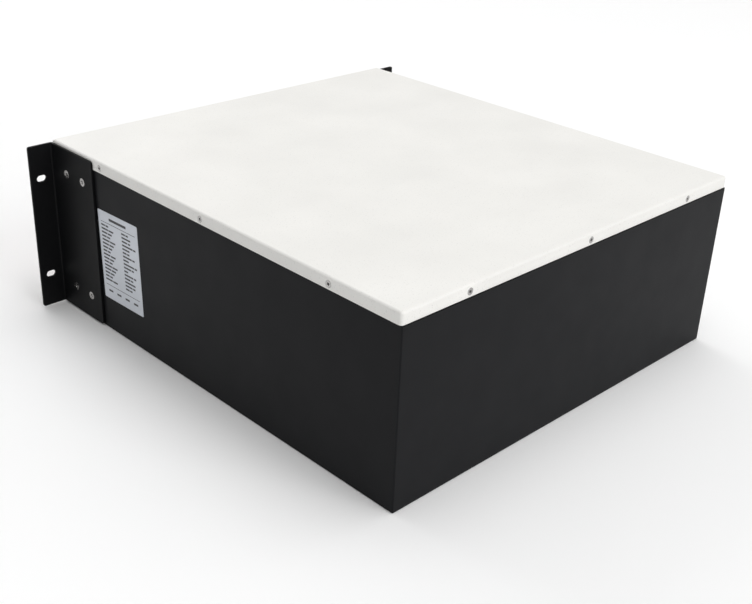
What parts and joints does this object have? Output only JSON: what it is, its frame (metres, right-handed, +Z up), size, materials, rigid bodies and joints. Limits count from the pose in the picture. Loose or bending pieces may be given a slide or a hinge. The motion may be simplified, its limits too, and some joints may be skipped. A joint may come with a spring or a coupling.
{
  "type": "rack-mounted lithium battery pack",
  "caption": "Flat steel case with a white screwed-down cover, slotted rack ears, front handles, hooded power studs, breaker, display and network sockets, and prismatic cells inside.",
  "frame": {"origin": "centre of the case's flat underside", "axes": "+X right seen from the front, +Y from the front panel to the rear wall, +Z up"},
  "size_m": [0.488, 0.517, 0.174],
  "materials": {
    "case_paint": "satin dark grey powder coat",
    "ear_paint": "satin black powder coat",
    "cover_paint": "satin warm white powder coat",
    "handle_metal": "black anodised",
    "screw_steel": "nickel plated, fine turned marks",
    "nut_steel": "zinc plated",
    "label_film": "silver-grey printed polyester film",
    "positive_plastic": "moulded, fine texture",
    "negative_plastic": "moulded, fine texture",
    "tinned_copper": "tinned",
    "bare_copper": "brushed",
    "breaker_grey": "moulded, fine texture",
    "toggle_black": "moulded",
    "button_metal": "turned",
    "key_rubber": "moulded",
    "reset_plastic": "moulded",
    "window_clear": "clear, hard coated",
    "display_black": "dark display glass",
    "led_clear": "clear light guide",
    "socket_black": "moulded",
    "switch_blue": "moulded",
    "slider_white": "moulded",
    "board_green": "solder mask on glass-fibre laminate",
    "cell_wrap": "blue film wrap over an aluminium can",
    "laminate": "glass-fibre laminate",
    "pad_rubber": "cellular rubber",
    "strap_steel": "galvanised",
    "plate_aluminium": "milled",
    "film_clear": "translucent polycarbonate sheet",
    "heatsink_black": "black anodised extrusion",
    "transistor_epoxy": "epoxy",
    "cable_black": "silicone rubber",
    "harness_white": "silicone rubber"
  },
  "bodies": {
    "case": {"chassis_tray": "case_paint", "top_cover": "cover_paint", "front_panel": "cover_paint", "rack_ear_left": "ear_paint", "rack_ear_right": "ear_paint", "cover_screws": "screw_steel", "ear_screws": "screw_steel", "panel_screws": "screw_steel", "clinch_nuts": "nut_steel", "handle_left": "handle_metal", "handle_right": "handle_metal", "handle_screws": "nut_steel", "rating_label": "label_film", "terminal_base_negative": "negative_plastic", "terminal_base_positive": "positive_plastic", "terminal_studs": "tinned_copper", "terminal_nuts": "nut_steel", "hinge_pins": "nut_steel", "breaker_body": "breaker_grey", "power_button_housing": "button_metal", "tact_switches": "socket_black", "interface_board": "board_green", "board_standoffs": "tinned_copper", "display_window": "window_clear", "display_module": "display_black", "status_leds": "led_clear", "address_switch_body": "switch_blue", "network_sockets": "socket_black", "earth_stud": "tinned_copper", "panel_nuts": "nut_steel", "cells_front_row": "cell_wrap", "cells_rear_row": "cell_wrap", "cell_spacers": "laminate", "cell_posts": "plate_aluminium", "row_end_plates": "plate_aluminium", "row_straps": "strap_steel", "base_pad": "pad_rubber", "series_busbars": "bare_copper", "busbar_nuts": "nut_steel", "insulation_sheet": "film_clear", "bms_bracket": "strap_steel", "bms_board": "board_green", "bms_transistors": "transistor_epoxy", "bms_heatsink": "heatsink_black", "cable_lugs": "tinned_copper", "power_cables": "cable_black", "sense_harness": "harness_white"},
    "terminal_cover_negative": {"terminal_cover_negative": "negative_plastic"},
    "terminal_cover_positive": {"terminal_cover_positive": "positive_plastic"},
    "breaker_toggle": {"breaker_toggle": "toggle_black"},
    "power_button": {"power_button": "button_metal"},
    "reset_button": {"reset_button": "reset_plastic"},
    "menu_key_1": {"menu_key_1": "key_rubber"},
    "address_slider_1": {"address_slider_1": "slider_white"},
    "menu_key_2": {"menu_key_2": "key_rubber"},
    "address_slider_2": {"address_slider_2": "slider_white"},
    "menu_key_3": {"menu_key_3": "key_rubber"},
    "address_slider_3": {"address_slider_3": "slider_white"},
    "menu_key_4": {"menu_key_4": "key_rubber"},
    "address_slider_4": {"address_slider_4": "slider_white"}
  },
  "joints": [
    {"name": "terminal_cover_negative_hinge", "type": "hinge", "parent": "case", "child": "terminal_cover_negative", "pos_m": [0.048, -0.243, 0.1416], "axis": [-1, 0, 0], "range_deg": [0, 100]},
    {"name": "terminal_cover_positive_hinge", "type": "hinge", "parent": "case", "child": "terminal_cover_positive", "pos_m": [0.138, -0.243, 0.1416], "axis": [-1, 0, 0], "range_deg": [0, 100]},
    {"name": "breaker_toggle_hinge", "type": "hinge", "parent": "case", "child": "breaker_toggle", "pos_m": [-0.15, -0.2375, 0.099], "axis": [-1, 0, 0], "range_deg": [0, 80]},
    {"name": "power_button_press", "type": "slide", "parent": "case", "child": "power_button", "axis": [0, 1, 0], "range_m": [0, 0.002], "stiffness_N_per_m": 1000, "springref_m": -0.0008},
    {"name": "reset_button_press", "type": "slide", "parent": "case", "child": "reset_button", "axis": [0, 1, 0], "range_m": [0, 0.0008], "stiffness_N_per_m": 1200, "springref_m": -0.0003},
    {"name": "menu_key_1_press", "type": "slide", "parent": "case", "child": "menu_key_1", "axis": [0, 1, 0], "range_m": [0, 0.0008], "stiffness_N_per_m": 1200, "springref_m": -0.0003},
    {"name": "menu_key_2_press", "type": "slide", "parent": "case", "child": "menu_key_2", "axis": [0, 1, 0], "range_m": [0, 0.0008], "stiffness_N_per_m": 1200, "springref_m": -0.0003},
    {"name": "menu_key_3_press", "type": "slide", "parent": "case", "child": "menu_key_3", "axis": [0, 1, 0], "range_m": [0, 0.0008], "stiffness_N_per_m": 1200, "springref_m": -0.0003},
    {"name": "menu_key_4_press", "type": "slide", "parent": "case", "child": "menu_key_4", "axis": [0, 1, 0], "range_m": [0, 0.0008], "stiffness_N_per_m": 1200, "springref_m": -0.0003},
    {"name": "address_slider_1_slide", "type": "slide", "parent": "case", "child": "address_slider_1", "axis": [0, 0, 1], "range_m": [0, 0.0018]},
    {"name": "address_slider_2_slide", "type": "slide", "parent": "case", "child": "address_slider_2", "axis": [0, 0, 1], "range_m": [0, 0.0018]},
    {"name": "address_slider_3_slide", "type": "slide", "parent": "case", "child": "address_slider_3", "axis": [0, 0, 1], "range_m": [0, 0.0018]},
    {"name": "address_slider_4_slide", "type": "slide", "parent": "case", "child": "address_slider_4", "axis": [0, 0, 1], "range_m": [0, 0.0018]}
  ]
}
